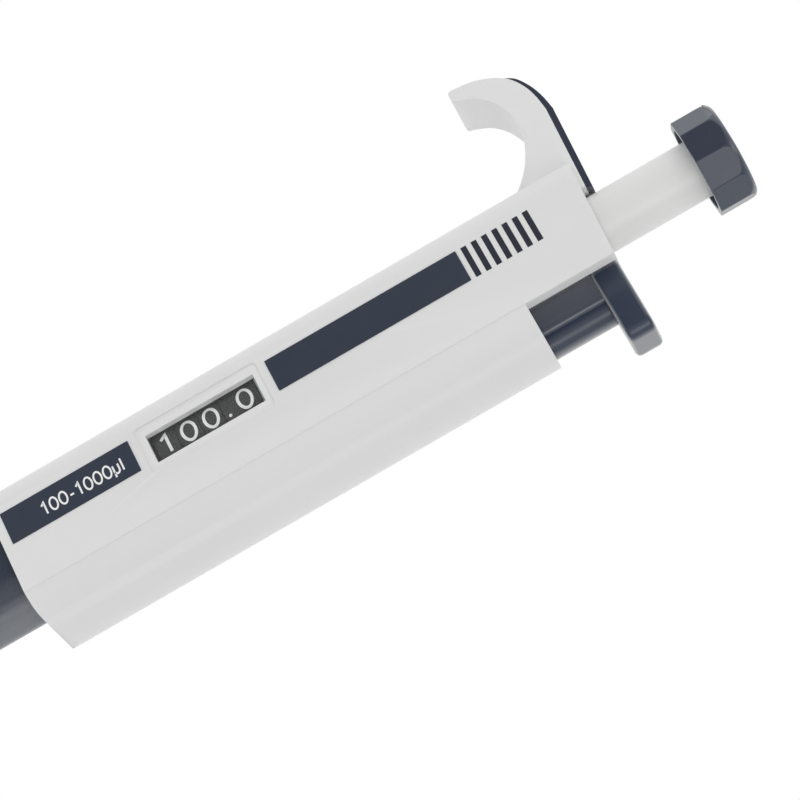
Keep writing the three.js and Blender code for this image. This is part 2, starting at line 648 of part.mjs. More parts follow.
function ejectorStem() {
  const { stemX0, stemTop, stemStepZ, stemBottom, stemStepX, stemHalfWidth } = EJECTOR;
  const reach = stemHalfWidth + 1;
  return solid(prism(stemOutline(0), stemBottom, stemTop))
    .subtract(solid(box(stemX0 - 1, stemStepX, -reach, reach, stemBottom - 1, stemStepZ)));
}

// A screw or its hole, lying along X: it starts at x and runs towards +X.
function crosswise(radius, x, length) {
  return rod(radius, -length, 0, 0, 0, PIN_SEGMENTS).rotateY(-Math.PI / 2).translate(x, 0, SCREW.z);
}

function buildEjector() {
  const { buttonX, buttonHalfWidth, buttonCorner, buttonBevel, buttonTop, stemTop } = EJECTOR;
  const { stemStepX, stemBottom } = EJECTOR;
  const { x, coil, wire, turns } = EJECTOR_SPRING;
  const plan = roundedRect(buttonX[0], buttonX[1], -buttonHalfWidth, buttonHalfWidth, buttonCorner);
  const hole = solid(crosswise(SCREW.hole, stemStepX - SCREW.length / 2, 2 * SCREW.length));
  const springFrom = HANDLE.bottom + NOSE.floor + CLEARANCE;
  const springTo = stemBottom - CLEARANCE;
  place('ejector_button', softPrism(plan, stemTop, buttonTop, buttonBevel), NAVY);
  place('ejector_stem', geometryOf(ejectorStem().subtract(hole)), NAVY);
  place('ejector_sleeve', geometryOf(ejectorSleeve().subtract(hole)), NAVY);
  place('ejector_screw', crosswise(SCREW.radius, stemStepX - SCREW.sunk, SCREW.length), STEEL);
  place('ejector_spring', spring(x, coil, wire, springFrom, springTo, turns), STEEL);
}

buildHandle();
buildCounter();
buildPlunger();
buildBarrel();
buildNozzle();
buildEjector();

export default pipette;
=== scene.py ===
"""Looks of the adjustable micropipette: finished pieces, materials, studio and camera."""
import json
import math

import bmesh
import bpy
from mathutils import Matrix, Vector


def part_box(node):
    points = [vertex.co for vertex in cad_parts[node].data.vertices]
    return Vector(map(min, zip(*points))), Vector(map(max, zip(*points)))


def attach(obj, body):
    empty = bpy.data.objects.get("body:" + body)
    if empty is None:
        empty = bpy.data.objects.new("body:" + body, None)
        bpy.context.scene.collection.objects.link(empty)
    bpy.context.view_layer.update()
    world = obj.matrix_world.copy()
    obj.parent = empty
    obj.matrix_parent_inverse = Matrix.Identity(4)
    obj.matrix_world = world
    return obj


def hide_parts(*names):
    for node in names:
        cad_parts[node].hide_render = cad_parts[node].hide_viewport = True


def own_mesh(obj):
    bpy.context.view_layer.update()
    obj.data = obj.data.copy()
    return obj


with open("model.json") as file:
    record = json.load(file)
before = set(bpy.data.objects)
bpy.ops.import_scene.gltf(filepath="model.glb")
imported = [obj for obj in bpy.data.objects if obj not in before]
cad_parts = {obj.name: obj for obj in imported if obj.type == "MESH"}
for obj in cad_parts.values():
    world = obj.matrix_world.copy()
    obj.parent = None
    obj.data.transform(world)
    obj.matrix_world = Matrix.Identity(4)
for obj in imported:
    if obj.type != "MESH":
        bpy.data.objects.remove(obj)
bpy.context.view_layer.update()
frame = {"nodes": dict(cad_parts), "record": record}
NODES = frame["nodes"]

MM = 0.001

# ---- edges and seams ----
SHELL_EDGE = 0.22 * MM
PAD_EDGE = 0.25 * MM
LABEL_EDGE = 0.02 * MM
ROD_EDGE = 0.2 * MM
PLATE_EDGE = 0.2 * MM
STEM_EDGE = 0.3 * MM
SLEEVE_EDGE = 0.25 * MM
BUTTON_EDGE = 0.14 * MM
BOWL_ROLL = 1.7 * MM
HOOK_ROLL = 0.5 * MM
# The side edges of the hook's bowl and arm lie outside this Y and inside these X and Z.
BOWL_SIDE = 5.3 * MM
BOWL_X = (-34.1 * MM, -11 * MM)
BOWL_Z = (203 * MM, 212 * MM)
# Faces larger than these areas keep a flat middle, inside a narrow border.
FLAT_BORDER = 0.12 * MM
SHELL_FLAT = 60 * MM * MM
PAD_FLAT = 30 * MM * MM
FACET_FLAT = 12 * MM * MM
COVER_JOINT_X = 12.7 * MM
SEAM_CLOSED_BY = 0.08 * MM
ROUNDED_FROM = math.radians(28)
SMOOTH_BELOW = math.radians(32)
COIL_SMOOTH_BELOW = math.radians(80)
MERGED_BELOW = math.radians(0.3)
WELDED_WITHIN = 0.002 * MM
TOUCHING = 0.01 * MM
# Each spring, the joint that shortens it, and how far that joint travels. The spring is full length at rest.
SPRINGS = (
    ("plunger_spring", "plunger_press", 16.0 * MM),
    ("ejector_spring", "ejector_press", 8.0 * MM),
    ("blowout_spring", "blowout_travel", 1.6 * MM),
)

# ---- print ----
INK_RAISED = 0.03 * MM
INK_SUNK = 0.02 * MM
DIGIT_HEIGHT = 3.7 * MM
DIGIT_STROKE = 0.54 / 3.7
DIGIT_SHIFT = -0.55 * MM
DIGIT_SPACING = 1.04
TWO_DIGIT_SQUEEZE = 0.64
DIGIT_TURN = math.radians(36)
# The fixed last zero and the decimal point, above the bottom of the fixed ring.
LAST_ZERO_RISE = 4.55 * MM
POINT_RISE = 1.05 * MM
POINT_DROP = 1.55 * MM
POINT_RADIUS = 0.3 * MM
POINT_SIDES = 20
RANGE_TEXT = "100-1000ul"
RANGE_HEIGHT = 2.45 * MM
RANGE_STROKE = 0.155
RANGE_START = 6.9 * MM
RANGE_LENGTH = 16.2 * MM
RANGE_SHIFT = 0.25 * MM
RANGE_RAISED = 0.02 * MM
PRINT_ROOM = 0.04 * MM
BAR_COUNT = 7
BAR_HEIGHT = 1.05 * MM
BAR_PITCH = 2.03 * MM
BAR_FILM = 0.04 * MM
TOP_BAR_RISE = 13.7 * MM

# ---- noise sizes and levels shared by the materials ----
CLOUD_SCALE = 60
GLOSS_SCALE = 220
GRAIN_SCALE = 5200
GRAIN_DEPTH = 0.03 * MM
SWELL_SCALE = 90
SWELL_STRENGTH = 0.12
SWELL_DEPTH = 0.1 * MM
EDGE_POINTINESS = (0.53, 0.62)
# A painted sheen, a lighter colour standing in for a reflection at glancing angles, starts and ends at these
# turns away from the viewer, from 0 facing to 1 side on.
PAINTED_SHEEN_FROM = 0.17
PAINTED_SHEEN_TO = 0.8
PAINTED_SHEEN_MOST = 0.9
NOISE_ROUGHNESS = 0.55
PLASTIC_IOR = 1.5
SCATTER_RADIUS = (2 * MM, 2 * MM, 1.8 * MM)
SCATTER_SCALE = 0.5
TOOL_RINGS = 900
LENS_REFLECTION = 0.03

# ---- camera and studio ----
CAMERA_AZIMUTH = math.radians(30)
CAMERA_ELEVATION = math.radians(2.2)
CAMERA_ROLL = math.radians(60.05)
CAMERA_DISTANCE = 0.609
CAMERA_AIM = Vector((7.76, 4.48, 168)) * MM
LENS_LENGTH = 157
SENSOR_WIDTH = 36
NEAR_CLIP = 0.01
TO_CAMERA = Vector((
    math.sin(CAMERA_AZIMUTH) * math.cos(CAMERA_ELEVATION),
    -math.cos(CAMERA_AZIMUTH) * math.cos(CAMERA_ELEVATION),
    math.sin(CAMERA_ELEVATION),
))
WORLD_FRONT = 0.64
WORLD_BEHIND = 1.0
CARD_AZIMUTH = math.radians(-112)
CARD_DIRECTION = Vector((math.cos(CARD_AZIMUTH), math.sin(CARD_AZIMUTH), 0))
CARD_EDGE = (0.72, 0.92)
CARD_LEVEL = 0.12
# Places and sizes in metres, and power in watts.
KEY_LIGHT = {"place": (-0.5, -0.7, 0.7), "target": (0, 0, 0.16), "size": 0.6, "power": 1.42}
FILL_LIGHT = {"place": (0.68, -0.51, 0.28), "target": (0, 0, 0.2), "size": 0.35, "power": 0.75}
FLOOR_RADIUS = 0.33
FLOOR_SIDES = 96
FLOOR_DROP = 0.5 * MM


# ---------------------------------------------------------------- node trees
def remap(tree, value, from_low, from_high, to_low=0.0, to_high=1.0, kind="LINEAR"):
    """Maps from_low to from_high onto to_low to to_high, and holds it there outside that range."""
    node = tree.nodes.new("ShaderNodeMapRange")
    node.interpolation_type = kind
    names = ("From Min", "From Max", "To Min", "To Max")
    for name, number in zip(names, (from_low, from_high, to_low, to_high)):
        node.inputs[name].default_value = number
    tree.links.new(value, node.inputs["Value"])
    return node.outputs["Result"]


def dot_with(tree, vector, direction):
    """The dot product of a vector with a fixed direction."""
    node = tree.nodes.new("ShaderNodeVectorMath")
    node.operation = "DOT_PRODUCT"
    node.inputs[1].default_value = direction
    tree.links.new(vector, node.inputs[0])
    return node.outputs["Value"]


class Nodes:
    """A small helper round one material's node tree."""

    def __init__(self, name):
        self.material = bpy.data.materials.new(name)
        self.material.use_nodes = True
        self.tree = self.material.node_tree
        self.shader = self.tree.nodes["Principled BSDF"]
        self.coordinates = self.add("ShaderNodeTexCoord").outputs["Object"]

    def add(self, kind, **values):
        node = self.tree.nodes.new(kind)
        for key, value in values.items():
            if key in node.inputs.keys():
                node.inputs[key].default_value = value
            else:
                setattr(node, key, value)
        return node

    def link(self, a, b):
        self.tree.links.new(a, b)

    def noise(self, scale, detail=4.0):
        node = self.add("ShaderNodeTexNoise", Scale=scale, Detail=detail, Roughness=NOISE_ROUGHNESS)
        self.link(self.coordinates, node.inputs["Vector"])
        return node.outputs["Fac"]

    def spread(self, value, low, high):
        """Maps a 0 to 1 value to low to high."""
        return remap(self.tree, value, 0, 1, low, high)

    def mix(self, factor, first, second):
        node = self.add("ShaderNodeMix", data_type="RGBA")
        for value, name in ((first, "A"), (second, "B")):
            socket = next(s for s in node.inputs if s.name == name and s.type == "RGBA")
            if hasattr(value, "default_value"):
                self.link(value, socket)
            else:
                socket.default_value = (*value, 1)
        self.link(factor, node.inputs["Factor"])
        return next(s for s in node.outputs if s.type == "RGBA")

    def bump(self, height, strength, distance):
        node = self.add("ShaderNodeBump", Strength=strength, Distance=distance)
        self.link(height, node.inputs["Height"])
        return node

    def glancing(self):
        """The mask of the painted sheen: rises where an upright surface turns away from the viewer, whatever
        the viewer's height.
        """
        geometry = self.add("ShaderNodeNewGeometry")
        level = self.add("ShaderNodeVectorMath", operation="MULTIPLY")
        level.inputs[1].default_value = (1, 1, 0)
        self.link(geometry.outputs["Incoming"], level.inputs[0])
        unit = self.add("ShaderNodeVectorMath", operation="NORMALIZE")
        self.link(level.outputs["Vector"], unit.inputs[0])
        facing = self.add("ShaderNodeVectorMath", operation="DOT_PRODUCT")
        self.link(unit.outputs["Vector"], facing.inputs[0])
        self.link(geometry.outputs["Normal"], facing.inputs[1])
        return remap(self.tree, facing.outputs["Value"], 1 - PAINTED_SHEEN_FROM, 1 - PAINTED_SHEEN_TO, 0, PAINTED_SHEEN_MOST)

    def edges(self):
        """A mask that is near 1 on convex edges."""
        geometry = self.add("ShaderNodeNewGeometry")
        return remap(self.tree, geometry.outputs["Pointiness"], *EDGE_POINTINESS)


# ---------------------------------------------------------------- materials
def linear(red, green, blue):
    """An sRGB colour of 0 to 255 as linear light."""
    def channel(value):
        value /= 255
        return value / 12.92 if value <= 0.04045 else ((value + 0.055) / 1.055) ** 2.4
    return channel(red), channel(green), channel(blue)


def moulded(name, colour, variation=0.03, roughness=(0.34, 0.46), grain=0.25, subsurface=0.0,
            edge_gain=0.12, painted_sheen=None):
    """Moulded plastic: cloudy colour, uneven gloss, fine texture, convex edges a little lighter, and a
    painted sheen at its sides, a lighter colour standing in for a glancing reflection.
    """
    m = Nodes(name)
    darker = tuple(c * (1 - variation) for c in colour)
    lighter = tuple(min(1, c * (1 + variation)) for c in colour)
    # Convex edges are mixed a little towards white.
    lighter_edge_colour = tuple(min(1, c + (1 - c) * edge_gain) for c in colour)
    shade = m.mix(m.edges(), m.mix(m.noise(CLOUD_SCALE), darker, lighter), lighter_edge_colour)
    # Painted sheen: the colour turns towards a lighter one where the surface turns away from the viewer,
    # standing in for a reflection.
    if painted_sheen:
        shade = m.mix(m.glancing(), shade, painted_sheen)
    m.link(shade, m.shader.inputs["Base Color"])
    m.link(m.spread(m.noise(GLOSS_SCALE), *roughness), m.shader.inputs["Roughness"])
    fine = m.bump(m.noise(GRAIN_SCALE, 2), grain, GRAIN_DEPTH)
    swell = m.bump(m.noise(SWELL_SCALE, 2), SWELL_STRENGTH, SWELL_DEPTH)
    m.link(swell.outputs["Normal"], fine.inputs["Normal"])
    m.link(fine.outputs["Normal"], m.shader.inputs["Normal"])
    m.shader.inputs["IOR"].default_value = PLASTIC_IOR
    if subsurface:
        m.shader.inputs["Subsurface Weight"].default_value = subsurface
        m.shader.inputs["Subsurface Radius"].default_value = SCATTER_RADIUS
        m.shader.inputs["Subsurface Scale"].default_value = SCATTER_SCALE
    return m.material


def printed(name, colour, roughness=0.45):
    """Screen-printed ink or label film, with a faint uneven coat."""
    m = Nodes(name)
    faded = tuple(c * 0.9 + 0.01 for c in colour)
    m.link(m.mix(m.noise(scale=400, detail=3), colour, faded), m.shader.inputs["Base Color"])
    m.link(m.spread(m.noise(scale=900), roughness - 0.06, roughness + 0.08), m.shader.inputs["Roughness"])
    coat = m.bump(m.noise(scale=3500, detail=2), strength=0.15, distance=0.02 * MM)
    m.link(coat.outputs["Normal"], m.shader.inputs["Normal"])
    return m.material


def turned_metal(name, colour, roughness=0.26):
    """Turned metal with fine rings along Z."""
    m = Nodes(name)
    wave = m.add("ShaderNodeTexWave", Scale=TOOL_RINGS, Distortion=0.6, bands_direction="Z")
    m.link(m.coordinates, wave.inputs["Vector"])
    stained = tuple(c * 0.8 for c in colour)
    m.link(m.mix(m.noise(scale=150), stained, colour), m.shader.inputs["Base Color"])
    m.link(m.spread(wave.outputs["Fac"], roughness - 0.05, roughness + 0.12), m.shader.inputs["Roughness"])
    rings = m.bump(wave.outputs["Fac"], strength=0.15, distance=0.03 * MM)
    m.link(rings.outputs["Normal"], m.shader.inputs["Normal"])
    m.shader.inputs["Metallic"].default_value = 1
    return m.material


def clear_plastic(name):
    """Thin clear plastic: light passes straight through, under a faint reflection."""
    m = Nodes(name)
    dull, bright = (0.75, 0.78, 0.8), (0.85, 0.86, 0.88)
    m.link(m.spread(m.noise(scale=300), 0.04, 0.1), m.shader.inputs["Roughness"])
    m.link(m.mix(m.noise(scale=200), dull, bright), m.shader.inputs["Base Color"])
    ripple = m.bump(m.noise(scale=800, detail=2), strength=0.05, distance=0.02 * MM)
    m.link(ripple.outputs["Normal"], m.shader.inputs["Normal"])
    see_through = m.add("ShaderNodeBsdfTransparent")
    blend = m.add("ShaderNodeMixShader")
    blend.inputs["Fac"].default_value = LENS_REFLECTION
    m.link(see_through.outputs["BSDF"], blend.inputs[1])
    m.link(m.shader.outputs["BSDF"], blend.inputs[2])
    m.link(blend.outputs["Shader"], m.tree.nodes["Material Output"].inputs["Surface"])
    return m.material


WHITE = moulded("white_moulding", linear(231, 231, 231), subsurface=0.08)
ROD_WHITE = moulded("rod_white", linear(234, 234, 233), roughness=(0.3, 0.4), subsurface=0.08)
# Both navy materials carry a painted sheen at their sides, standing in for a glancing reflection; the second
# paints a brighter, near-white one.
NAVY = moulded(
    "navy_moulding", linear(55, 62, 77), variation=0.05, roughness=(0.22, 0.32), grain=0.12, edge_gain=0.1,
    painted_sheen=linear(110, 116, 124),
)
NAVY_STRONG_SHEEN = moulded(
    "navy_strong_sheen", linear(50, 59, 78), variation=0.05, roughness=(0.22, 0.3), painted_sheen=linear(196, 197, 199),
)
GREY = moulded("grey_moulding", linear(170, 174, 178), roughness=(0.4, 0.5))
SEAL = moulded("seal_polymer", linear(235, 234, 230), roughness=(0.45, 0.55), subsurface=0.2)
LABEL = printed("label_film", linear(44, 54, 72))
INK = printed("dark_ink", linear(32, 38, 54))
WHITE_INK = printed("white_ink", linear(252, 252, 252), 0.5)
DRUM = moulded("drum_charcoal", linear(33, 33, 33), roughness=(0.55, 0.65), edge_gain=0.02)
LENS = clear_plastic("window_plastic")
STEEL = turned_metal("turned_steel", (0.62, 0.63, 0.64))
BRASS = turned_metal("turned_brass", (0.62, 0.45, 0.18))
RUBBER = moulded("black_rubber", linear(30, 30, 30), roughness=(0.7, 0.85), edge_gain=0.02)

SLOT_MATERIAL = {
    "white_plastic": WHITE, "navy_plastic": NAVY, "label_blue": LABEL, "drum_charcoal": DRUM,
    "clear_window": LENS, "grey_plastic": GREY, "seal_white": SEAL, "steel": STEEL, "brass": BRASS,
    "rubber": RUBBER,
}
NODE_SLOT = {part["node"]: part["material_slot"] for part in frame["record"]["subparts"]}
BODIES = frame["record"]["behaviour"]["bodies"]
NODE_BODY = {node: body for body, nodes in BODIES.items() for node in nodes}


# ---------------------------------------------------------------- mesh helpers
def dress(obj, material):
    obj.data.materials.clear()
    obj.data.materials.append(material)


def smooth(mesh, angle=SMOOTH_BELOW):
    mesh.shade_smooth()
    mesh.set_sharp_from_angle(angle=angle)


def new_piece(name, mesh, body, material, slot, *replaced):
    obj = bpy.data.objects.new(name, mesh)
    bpy.context.scene.collection.objects.link(obj)
    dress(obj, material)
    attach(obj, body)
    if replaced:
        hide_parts(*replaced)
    weighted = obj.modifiers.new("weighted", "WEIGHTED_NORMAL")
    weighted.keep_sharp = True
    weighted.weight = 100
    return obj


def finished(bm, name):
    bmesh.ops.recalc_face_normals(bm, faces=bm.faces)
    mesh = bpy.data.meshes.new(name)
    bm.to_mesh(mesh)
    bm.free()
    smooth(mesh)
    return mesh


def cad_copy(node):
    """A bmesh of a CAD node with its flat faces merged, ready for fine edges."""
    bm = bmesh.new()
    bm.from_mesh(NODES[node].data)
    bmesh.ops.remove_doubles(bm, verts=bm.verts, dist=WELDED_WITHIN)
    bmesh.ops.dissolve_limit(bm, angle_limit=MERGED_BELOW, verts=bm.verts, edges=bm.edges)
    return bm


def round_edges(bm, width, segments=3, where=lambda point: True):
    """Rounds the sharp edges whose middle passes where."""
    edges = []
    for edge in bm.edges:
        if len(edge.link_faces) != 2 or edge.calc_face_angle(0) < ROUNDED_FROM:
            continue
        middle = (edge.verts[0].co + edge.verts[1].co) / 2
        if where(middle):
            edges.append(edge)
    bmesh.ops.bevel(
        bm, geom=edges, offset=width, offset_type="OFFSET", segments=segments, profile=0.5,
        affect="EDGES", clamp_overlap=True,
    )


def close_seam(bm):
    """Brings the ejector cover's joint face up to the handle, so that the seam is a hairline."""
    for vert in bm.verts:
        if abs(vert.co.x - COVER_JOINT_X) < TOUCHING:
            vert.co.x -= SEAM_CLOSED_BY


def sink_front(bm):
    """Thins a label's film a little, which leaves room for the print on it."""
    front = min(vert.co.y for vert in bm.verts)
    for vert in bm.verts:
        if vert.co.y < front + TOUCHING:
            vert.co.y += PRINT_ROOM


def keep_flat(bm, least_area):
    """Gives each broad flat face a narrow border, so that soft edges don't shade its middle."""
    broad = [face for face in bm.faces if face.calc_area() > least_area]
    bmesh.ops.inset_individual(bm, faces=broad, thickness=FLAT_BORDER, use_even_offset=True)


def refine(node, width, segments=3, material=None, adjust=None, flat_from=None):
    """Stands a copy of a CAD node with rounded edges in its place. Faces larger than flat_from stay flat."""
    bm = cad_copy(node)
    if adjust:
        adjust(bm)
    round_edges(bm, width, segments)
    if flat_from:
        keep_flat(bm, flat_from)
    mesh = finished(bm, node + "_fine")
    slot = NODE_SLOT[node]
    new_piece(node + "_fine", mesh, NODE_BODY[node], material or SLOT_MATERIAL[slot], slot, node)


# ---------------------------------------------------------------- the pieces
def dress_cad_nodes():
    for node, obj in NODES.items():
        dress(obj, SLOT_MATERIAL[NODE_SLOT[node]])
        smooth(obj.data)


def handle():
    for node in ("handle_front_shell", "handle_rear_shell"):
        refine(node, SHELL_EDGE, flat_from=SHELL_FLAT)
    refine("ejector_cover", SHELL_EDGE, adjust=close_seam)
    hook_piece()
    refine("hook_pad", PAD_EDGE, flat_from=PAD_FLAT)
    refine("range_label", LABEL_EDGE, 1, adjust=sink_front)


def hook_piece():
    """The finger hook, with a full roll along the bowl's edges and a smaller one elsewhere."""
    bm = cad_copy("finger_hook")
    round_edges(bm, BOWL_ROLL, 5, where=in_bowl)
    round_edges(bm, HOOK_ROLL, 3, where=lambda point: not in_bowl(point))
    mesh = finished(bm, "finger_hook_fine")
    new_piece("finger_hook_fine", mesh, "handle", WHITE, "white_plastic", "finger_hook")


def in_bowl(point):
    """Whether an edge's middle lies along the side edges of the hook's bowl or arm."""
    inside = BOWL_X[0] < point.x < BOWL_X[1] and BOWL_Z[0] < point.z < BOWL_Z[1]
    return abs(point.y) > BOWL_SIDE and inside


def springs():
    """Springs that stay on the handle, at the full length of the CAD coils."""
    for node, joint, travel in SPRINGS:
        mesh = NODES[node].data.copy()
        smooth(mesh, COIL_SMOOTH_BELOW)
        piece = new_piece(node + "_coil", mesh, "handle", STEEL, "steel", node)
        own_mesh(piece)


def button_piece():
    """The plunger button, with crisp flat facets under its domed top."""
    bm = cad_copy("plunger_button")
    round_edges(bm, BUTTON_EDGE, 2)
    keep_flat(bm, FACET_FLAT)
    mesh = finished(bm, "plunger_button_fine")
    new_piece("plunger_button_fine", mesh, "plunger", NAVY, "navy_plastic", "plunger_button")


def controls():
    button_piece()
    refine("plunger_rod", ROD_EDGE, 2, ROD_WHITE)
    # The ejector button and stem take the navy with the brighter painted sheen.
    refine("ejector_button", PLATE_EDGE, 3, NAVY_STRONG_SHEEN)
    refine("ejector_stem", STEM_EDGE, 3, NAVY_STRONG_SHEEN)
    refine("ejector_sleeve", SLEEVE_EDGE)


# ---------------------------------------------------------------- print
def arc(x, y, across, up, start, stop, steps=20):
    """Points of an elliptical arc, from start to stop in degrees."""
    angles = (math.radians(start + (stop - start) * i / steps) for i in range(steps + 1))
    return [(x + across * math.cos(a), y + up * math.sin(a)) for a in angles]


# Each glyph is a list of pen strokes in a box 1 high; a stroke that ends where it starts is a loop.
GLYPHS = {
    "0": [arc(0.33, 0.5, 0.33, 0.5, 90, 450, 36)],
    "1": [[(0.14, 0.76), (0.42, 1.0), (0.42, 0.0)]],
    "2": [arc(0.33, 0.68, 0.31, 0.32, 165, -38) + [(0.03, 0.0), (0.66, 0.0)]],
    "3": [arc(0.31, 0.76, 0.28, 0.24, 155, -90) + arc(0.31, 0.26, 0.33, 0.26, 90, -155)],
    "4": [[(0.5, 0.0), (0.5, 1.0), (0.0, 0.28), (0.68, 0.28)]],
    "5": [[(0.6, 1.0), (0.12, 1.0), (0.08, 0.55)] + arc(0.32, 0.32, 0.32, 0.32, 128, -150)],
    "6": [arc(0.33, 0.31, 0.32, 0.31, 160, 520, 36) + arc(0.6, 0.3, 0.59, 0.7, 178, 105)],
    "7": [[(0.02, 1.0), (0.64, 1.0), (0.24, 0.0)]],
    "8": [arc(0.33, 0.76, 0.27, 0.24, 270, 630, 30), arc(0.33, 0.26, 0.32, 0.26, 90, 450, 30)],
    "9": [arc(0.33, 0.69, 0.32, 0.31, -20, 340, 36) + arc(0.06, 0.7, 0.59, 0.7, -2, -75)],
    "-": [[(0.05, 0.38), (0.4, 0.38)]],
    "u": [
        [(0.0, 0.72)] + arc(0.24, 0.24, 0.24, 0.24, 180, 360) + [(0.48, 0.72)],
        [(0.0, 0.16), (0.0, -0.25)],
    ],
    "l": [[(0.05, 1.0), (0.05, 0.0)]],
}
# How far each glyph moves the pen on, and how wide the last glyph of a row is.
ADVANCE = {"1": 0.86, "-": 0.6, "u": 0.76, "l": 0.3}
DIGIT_ADVANCE = 0.9
LAST_WIDTH = {"l": 0.1}
DIGIT_WIDTH = 0.66
STROKE_STEP = 0.12
LOOP_CLOSED_WITHIN = 1e-6
SHARPEST_MITRE = 0.5


def advance(character):
    return ADVANCE.get(character, DIGIT_ADVANCE)


def row_width(text):
    """The width of a row of glyphs, in glyph heights."""
    return sum(advance(c) for c in text[:-1]) + LAST_WIDTH.get(text[-1], DIGIT_WIDTH)


def even_steps(points, spacing):
    """The same line with points no further apart than spacing."""
    out = [Vector(points[0])]
    for a, b in zip(points, points[1:]):
        a, b = Vector(a), Vector(b)
        count = max(1, math.ceil((b - a).length / spacing))
        out += [a.lerp(b, i / count) for i in range(1, count + 1)]
    return out


def pen_stroke(bm, points, width, raise_to, place):
    """One pen stroke as a thin closed strip. place turns (along, up, height) into a point in space."""
    closed = (Vector(points[0]) - Vector(points[-1])).length < LOOP_CLOSED_WITHIN
    line = even_steps(points, STROKE_STEP)
    if closed:
        line = line[:-1]
    count = len(line)
    rows = []
    for i, point in enumerate(line):
        before = line[i - 1] if i or closed else point
        after = line[(i + 1) % count] if i + 1 < count or closed else point
        into = (point - before).normalized() if point != before else (after - point).normalized()
        out = (after - point).normalized() if point != after else into
        mean = (into + out).normalized()
        side = Vector((-mean.y, mean.x)) * (width / 2 / max(SHARPEST_MITRE, mean.dot(into)))
        corners = []
        for across, height in ((side, 0.0), (-side, 0.0), (-side, raise_to), (side, raise_to)):
            spot = point + across
            corners.append(bm.verts.new(place(spot.x, spot.y, height)))
        rows.append(corners)
    pairs = list(zip(rows, rows[1:]))
    if closed:
        pairs.append((rows[-1], rows[0]))
    else:
        bm.faces.new(rows[0])
        bm.faces.new(rows[-1][::-1])
    for first, second in pairs:
        for k in range(4):
            bm.faces.new((first[k], first[(k + 1) % 4], second[(k + 1) % 4], second[k]))


def write(bm, text, width, raise_to, place):
    """Writes glyphs in a row; place takes (along, up, height) in glyph heights."""
    along = 0.0
    for character in text:
        for stroke in GLYPHS[character]:
            pen_stroke(bm, stroke, width, raise_to, lambda x, y, h, at=along: place(at + x, y, h))
        along += advance(character)


def slab(bm, top, bottom):
    """Closes two matching loops of points into a thin solid."""
    tops = [bm.verts.new(point) for point in top]
    bottoms = [bm.verts.new(point) for point in bottom]
    bm.faces.new(tops)
    bm.faces.new(bottoms[::-1])
    for i in range(len(tops)):
        j = (i + 1) % len(tops)
        bm.faces.new((tops[i], bottoms[i], bottoms[j], tops[j]))


def digit_line():
    """The X of the digits' middle line in the window."""
    low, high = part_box("window_lens")
    return (low.x + high.x) / 2 + DIGIT_SHIFT


def on_drum(radius, angle, z, height):
    """A point at an angle round the counter's axis, at a height above the ink's sunk back."""
    out = radius - INK_SUNK + height
    return (-out * math.sin(angle), -out * math.cos(angle), z)


def drum_digits(node, labels):
    """Digits round a drum, read upwards with their tops towards -X, the next one on the -X side."""
    low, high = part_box(node)
    middle_z = (low.z + high.z) / 2
    digit_x = digit_line()
    bm = bmesh.new()
    for k, label in enumerate(labels):
        squeeze = TWO_DIGIT_SQUEEZE if len(label) > 1 else 1.0
        width = row_width(label)

        def place(along, up, height, k=k, squeeze=squeeze, width=width):
            arc_length = (up - 0.5) * DIGIT_HEIGHT - digit_x
            z = middle_z + (along - width / 2) * DIGIT_HEIGHT * squeeze * DIGIT_SPACING
            return on_drum(high.x, arc_length / high.x + k * DIGIT_TURN, z, height)
        write(bm, label, DIGIT_STROKE, INK_RAISED + INK_SUNK, place)
    name = node.split("_")[0] + "_digits"
    new_piece(name, finished(bm, name), NODE_BODY[node], WHITE_INK, "seal_white")


def counter_digits():
    drum_digits("hundreds_drum", [str(n) for n in range(1, 11)])
    drum_digits("tens_drum", [str(n) for n in range(10)])
    drum_digits("units_drum", ["0", "5"] * 5)


def tenths_print():
    """The fixed decimal point and last zero."""
    low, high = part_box("tenths_ring")
    radius = high.x
    digit_x = digit_line()
    bm = bmesh.new()

    def digit(along, up, height):
        z = low.z + LAST_ZERO_RISE + (along - DIGIT_WIDTH / 2) * DIGIT_HEIGHT * DIGIT_SPACING
        return on_drum(radius, ((up - 0.5) * DIGIT_HEIGHT - digit_x) / radius, z, height)

    def point_loop(height):
        turns = (2 * math.pi * i / POINT_SIDES for i in range(POINT_SIDES))
        rim = [(POINT_RADIUS * math.cos(t), POINT_RADIUS * math.sin(t)) for t in turns]
        point_x, point_z = digit_x + POINT_DROP, low.z + POINT_RISE
        return [on_drum(radius, -(point_x + x) / radius, point_z + z, height) for x, z in rim]
    write(bm, "0", DIGIT_STROKE, INK_RAISED + INK_SUNK, digit)
    slab(bm, point_loop(INK_RAISED + INK_SUNK), point_loop(0))
    new_piece("tenths_digits", finished(bm, "tenths_digits"), "handle", WHITE_INK, "seal_white")


def range_print():
    """The volume range in white on the lower label, read upwards."""
    low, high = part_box("range_label")
    centre_x = (low.x + high.x) / 2 + RANGE_SHIFT
    start_z = low.z + RANGE_START
    along_scale = RANGE_LENGTH / row_width(RANGE_TEXT)

    def place(along, up, raised):
        x = centre_x - (up - 0.5) * RANGE_HEIGHT
        return (x, low.y + PRINT_ROOM - raised, start_z + along * along_scale)
    bm = bmesh.new()
    write(bm, RANGE_TEXT, RANGE_STROKE, RANGE_RAISED, place)
    new_piece("range_print", finished(bm, "range_print"), "handle", WHITE_INK, "seal_white")


def index_bars():
    """Printed bars above the upper label."""
    low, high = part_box("upper_label")
    bm = bmesh.new()
    for i in range(BAR_COUNT):
        middle = high.z + TOP_BAR_RISE - i * BAR_PITCH
        z0, z1 = middle - BAR_HEIGHT / 2, middle + BAR_HEIGHT / 2
        rim = ((low.x, z0), (high.x, z0), (high.x, z1), (low.x, z1))
        slab(bm, [(x, high.y - BAR_FILM, z) for x, z in rim], [(x, high.y, z) for x, z in rim])
    new_piece("index_bars", finished(bm, "index_bars"), "handle", INK, "label_blue")


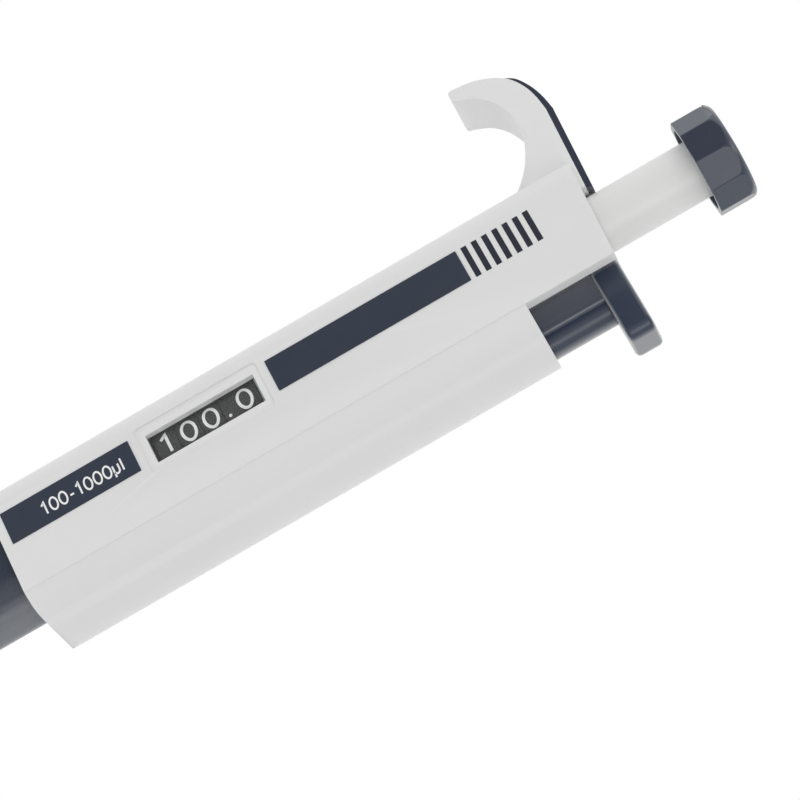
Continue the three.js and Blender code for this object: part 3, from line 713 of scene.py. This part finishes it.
# ---------------------------------------------------------------- studio and camera
def studio():
    """A white sweep: white to the camera, and bright behind the object but softer in front of it."""
    world = bpy.data.worlds.new("studio")
    bpy.context.scene.world = world
    bpy.context.scene.view_settings.view_transform = "Standard"
    world.use_nodes = True
    tree = world.node_tree
    background = tree.nodes["Background"]
    direction = tree.nodes.new("ShaderNodeTexCoord").outputs["Generated"]
    level = remap(tree, dot_with(tree, direction, TO_CAMERA), -1, 1, WORLD_BEHIND, WORLD_FRONT)
    seen = tree.nodes.new("ShaderNodeLightPath").outputs["Is Camera Ray"]
    choose = tree.nodes.new("ShaderNodeMix")
    tree.links.new(seen, choose.inputs["Factor"])
    tree.links.new(shaded_level(tree, direction, level), choose.inputs["A"])
    choose.inputs["B"].default_value = 1.0
    tree.links.new(choose.outputs["Result"], background.inputs["Strength"])
    background.inputs["Color"].default_value = (1, 1, 1, 1)


def shaded_level(tree, direction, level):
    """The world's level with a black card hung in front to the left, which only reflections see."""
    toward = dot_with(tree, direction, CARD_DIRECTION)
    dim = remap(tree, toward, *CARD_EDGE, 1, CARD_LEVEL, "SMOOTHSTEP")
    shaded = tree.nodes.new("ShaderNodeMath")
    shaded.operation = "MULTIPLY"
    tree.links.new(level, shaded.inputs[0])
    tree.links.new(dim, shaded.inputs[1])
    glossy = tree.nodes.new("ShaderNodeLightPath").outputs["Is Glossy Ray"]
    pick = tree.nodes.new("ShaderNodeMix")
    tree.links.new(glossy, pick.inputs["Factor"])
    tree.links.new(level, pick.inputs["A"])
    tree.links.new(shaded.outputs["Value"], pick.inputs["B"])
    return pick.outputs["Result"]


def area_light(name, place, target, size, power):
    data = bpy.data.lights.new(name, "AREA")
    data.size = size
    data.energy = power
    obj = bpy.data.objects.new(name, data)
    bpy.context.scene.collection.objects.link(obj)
    obj.location = place
    obj.rotation_mode = "QUATERNION"
    obj.rotation_quaternion = (Vector(target) - Vector(place)).to_track_quat("-Z", "Y")


def camera():
    data = bpy.data.cameras.new("camera")
    data.lens = LENS_LENGTH
    data.sensor_width = SENSOR_WIDTH
    data.clip_start = NEAR_CLIP
    obj = bpy.data.objects.new("camera", data)
    bpy.context.scene.collection.objects.link(obj)
    obj.rotation_mode = "QUATERNION"
    obj.location = CAMERA_AIM + TO_CAMERA * CAMERA_DISTANCE
    upright = (-TO_CAMERA).to_track_quat("-Z", "Y").to_matrix()
    obj.rotation_quaternion = (upright @ Matrix.Rotation(CAMERA_ROLL, 3, "Z")).to_quaternion()
    bpy.context.scene.camera = obj


def floor():
    bm = bmesh.new()
    bmesh.ops.create_circle(bm, cap_ends=True, radius=FLOOR_RADIUS, segments=FLOOR_SIDES)
    mesh = bpy.data.meshes.new("floor")
    bm.to_mesh(mesh)
    bm.free()
    obj = bpy.data.objects.new("floor", mesh)
    obj.location.z = -FLOOR_DROP
    bpy.context.scene.collection.objects.link(obj)
    dress(obj, moulded("floor_paint", (0.85, 0.85, 0.85), roughness=(0.6, 0.7)))


dress_cad_nodes()
handle()
controls()
springs()
counter_digits()
tenths_print()
range_print()
index_bars()
studio()
floor()
camera()
area_light("key", **KEY_LIGHT)
area_light("fill", **FILL_LIGHT)
